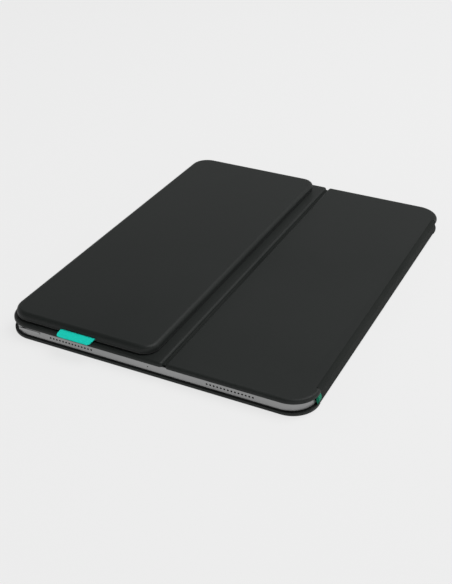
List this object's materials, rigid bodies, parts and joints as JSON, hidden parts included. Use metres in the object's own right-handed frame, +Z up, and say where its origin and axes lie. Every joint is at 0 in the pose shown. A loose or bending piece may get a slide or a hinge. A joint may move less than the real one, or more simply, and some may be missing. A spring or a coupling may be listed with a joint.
{
  "type": "tablet keyboard case",
  "caption": "Closed folio case around a slim tablet, with a creased two-panel cover, a detachable keyboard stowed keys-down on top and a woven pull tab.",
  "frame": {"origin": "centre of the closed case's outline on its underside, where the back cover rests", "axes": "+X across the case toward the spine, +Y along the case away from the camera end, +Z up out of the front cover"},
  "size_m": [0.2193, 0.2873, 0.018],
  "materials": {
    "cover_skin": "fine-grained dark charcoal wrap, soft sheen",
    "board": "stiff grey board",
    "lining": "short charcoal microfibre",
    "magnet": "nickel-plated bar magnet",
    "trim": "satin black moulded trim",
    "spine_skin": "fine-grained dark charcoal wrap",
    "fold": "flexible dark charcoal wrap",
    "tag": "dark green woven ribbon",
    "keeper_steel": "thin steel plate",
    "keyboard_shell": "fine soft-touch charcoal",
    "keyboard_deck": "fine-grained charcoal",
    "dome_rubber": "translucent off-white silicone",
    "backplate": "bare thin sheet",
    "circuit_board": "green solder mask",
    "battery": "silver pouch foil",
    "port_metal": "stamped metal shell",
    "status_light": "milky light guide",
    "switch_knob": "grey moulded knob",
    "pull_tab": "turquoise woven ribbon",
    "key_caps": "matt black caps with a shallow dish",
    "tablet_aluminium": "bead-blasted, anodised grey",
    "tablet_glass": "polished cover glass",
    "tablet_display": "dark unlit panel",
    "camera_glass": "polished black glass",
    "tablet_button": "anodised grey"
  },
  "bodies": {
    "back_cover": {"back_cover_skin": "cover_skin", "back_cover_board": "board", "back_cover_lining": "lining", "back_cover_magnets": "magnet", "camera_window_trim": "trim"},
    "spine": {"spine_skin": "spine_skin", "spine_board": "board", "lower_fold": "fold", "upper_fold": "fold", "corner_tag": "tag"},
    "hinge_panel": {"hinge_panel_skin": "cover_skin", "hinge_panel_board": "board", "hinge_panel_lining": "lining", "hinge_panel_magnets": "magnet", "crease_strip": "fold"},
    "flap_panel": {"flap_panel_skin": "cover_skin", "flap_panel_board": "board", "flap_panel_lining": "lining", "closure_magnets": "magnet", "keeper_plates": "keeper_steel"},
    "keyboard": {"keyboard_base_shell": "keyboard_shell", "keyboard_deck": "keyboard_deck", "dome_sheet": "dome_rubber", "key_backplate": "backplate", "circuit_board": "circuit_board", "battery_cell": "battery", "keyboard_magnets": "magnet", "charging_port": "port_metal", "status_light": "status_light", "pull_tab": "pull_tab"},
    "switch": {"power_switch": "switch_knob"},
    "tablet": {"tablet_housing": "tablet_aluminium", "tablet_glass": "tablet_glass", "tablet_display": "tablet_display", "tablet_camera": "camera_glass", "tablet_port": "port_metal"},
    "top_button_body": {"top_button": "tablet_button"},
    "volume_up_body": {"volume_up_button": "tablet_button"},
    "volume_down_body": {"volume_down_button": "tablet_button"},
    "low_row_body": {"low_row_keys": "key_caps"},
    "number_row_body": {"number_row_keys": "key_caps"},
    "upper_row_body": {"upper_row_keys": "key_caps"},
    "home_row_body": {"home_row_keys": "key_caps"},
    "lower_row_body": {"lower_row_keys": "key_caps"},
    "bottom_row_body": {"bottom_row_keys": "key_caps"},
    "space_bar_body": {"space_bar": "key_caps"}
  },
  "joints": [
    {"name": "spine_hinge", "type": "hinge", "parent": "back_cover", "child": "spine", "pos_m": [0.1086, 0, 0.002], "axis": [0, 1, 0], "range_deg": [0, 90], "deforming": ["lower_fold"]},
    {"name": "cover_hinge", "type": "hinge", "parent": "spine", "child": "hinge_panel", "pos_m": [0.1086, 0, 0.0102], "axis": [0, -1, 0], "range_deg": [-180, 0], "deforming": ["upper_fold", "corner_tag"]},
    {"name": "crease_fold", "type": "hinge", "parent": "hinge_panel", "child": "flap_panel", "pos_m": [0.012, 0, 0.0106], "axis": [0, 1, 0], "range_deg": [0, 90], "deforming": ["crease_strip"]},
    {"name": "keyboard_lift", "type": "slide", "parent": "flap_panel", "child": "keyboard", "axis": [0, 0, 1], "range_m": [0, 0.06]},
    {"name": "low_row_press", "type": "slide", "parent": "keyboard", "child": "low_row_body", "axis": [0, 0, 1], "range_m": [0, 0.0008], "stiffness_N_per_m": 200, "springref_m": -0.002, "deforming": ["dome_sheet"]},
    {"name": "number_row_press", "type": "slide", "parent": "keyboard", "child": "number_row_body", "axis": [0, 0, 1], "range_m": [0, 0.0008], "stiffness_N_per_m": 200, "springref_m": -0.002, "deforming": ["dome_sheet"]},
    {"name": "upper_row_press", "type": "slide", "parent": "keyboard", "child": "upper_row_body", "axis": [0, 0, 1], "range_m": [0, 0.0008], "stiffness_N_per_m": 200, "springref_m": -0.002, "deforming": ["dome_sheet"]},
    {"name": "home_row_press", "type": "slide", "parent": "keyboard", "child": "home_row_body", "axis": [0, 0, 1], "range_m": [0, 0.0008], "stiffness_N_per_m": 200, "springref_m": -0.002, "deforming": ["dome_sheet"]},
    {"name": "lower_row_press", "type": "slide", "parent": "keyboard", "child": "lower_row_body", "axis": [0, 0, 1], "range_m": [0, 0.0008], "stiffness_N_per_m": 200, "springref_m": -0.002, "deforming": ["dome_sheet"]},
    {"name": "bottom_row_press", "type": "slide", "parent": "keyboard", "child": "bottom_row_body", "axis": [0, 0, 1], "range_m": [0, 0.0008], "stiffness_N_per_m": 200, "springref_m": -0.002, "deforming": ["dome_sheet"]},
    {"name": "space_bar_press", "type": "slide", "parent": "keyboard", "child": "space_bar_body", "axis": [0, 0, 1], "range_m": [0, 0.0008], "stiffness_N_per_m": 200, "springref_m": -0.002, "deforming": ["dome_sheet"]},
    {"name": "switch_slide", "type": "slide", "parent": "keyboard", "child": "switch", "axis": [1, 0, 0], "range_m": [0, 0.002]},
    {"name": "tablet_slide", "type": "slide", "parent": "back_cover", "child": "tablet", "axis": [-1, 0, 0], "range_m": [0, 0.225]},
    {"name": "top_button_press", "type": "slide", "parent": "tablet", "child": "top_button_body", "axis": [0, 1, 0], "range_m": [0, 0.00025], "stiffness_N_per_m": 500, "springref_m": -0.001},
    {"name": "volume_up_press", "type": "slide", "parent": "tablet", "child": "volume_up_body", "axis": [1, 0, 0], "range_m": [0, 0.00025], "stiffness_N_per_m": 500, "springref_m": -0.001},
    {"name": "volume_down_press", "type": "slide", "parent": "tablet", "child": "volume_down_body", "axis": [1, 0, 0], "range_m": [0, 0.00025], "stiffness_N_per_m": 500, "springref_m": -0.001}
  ]
}
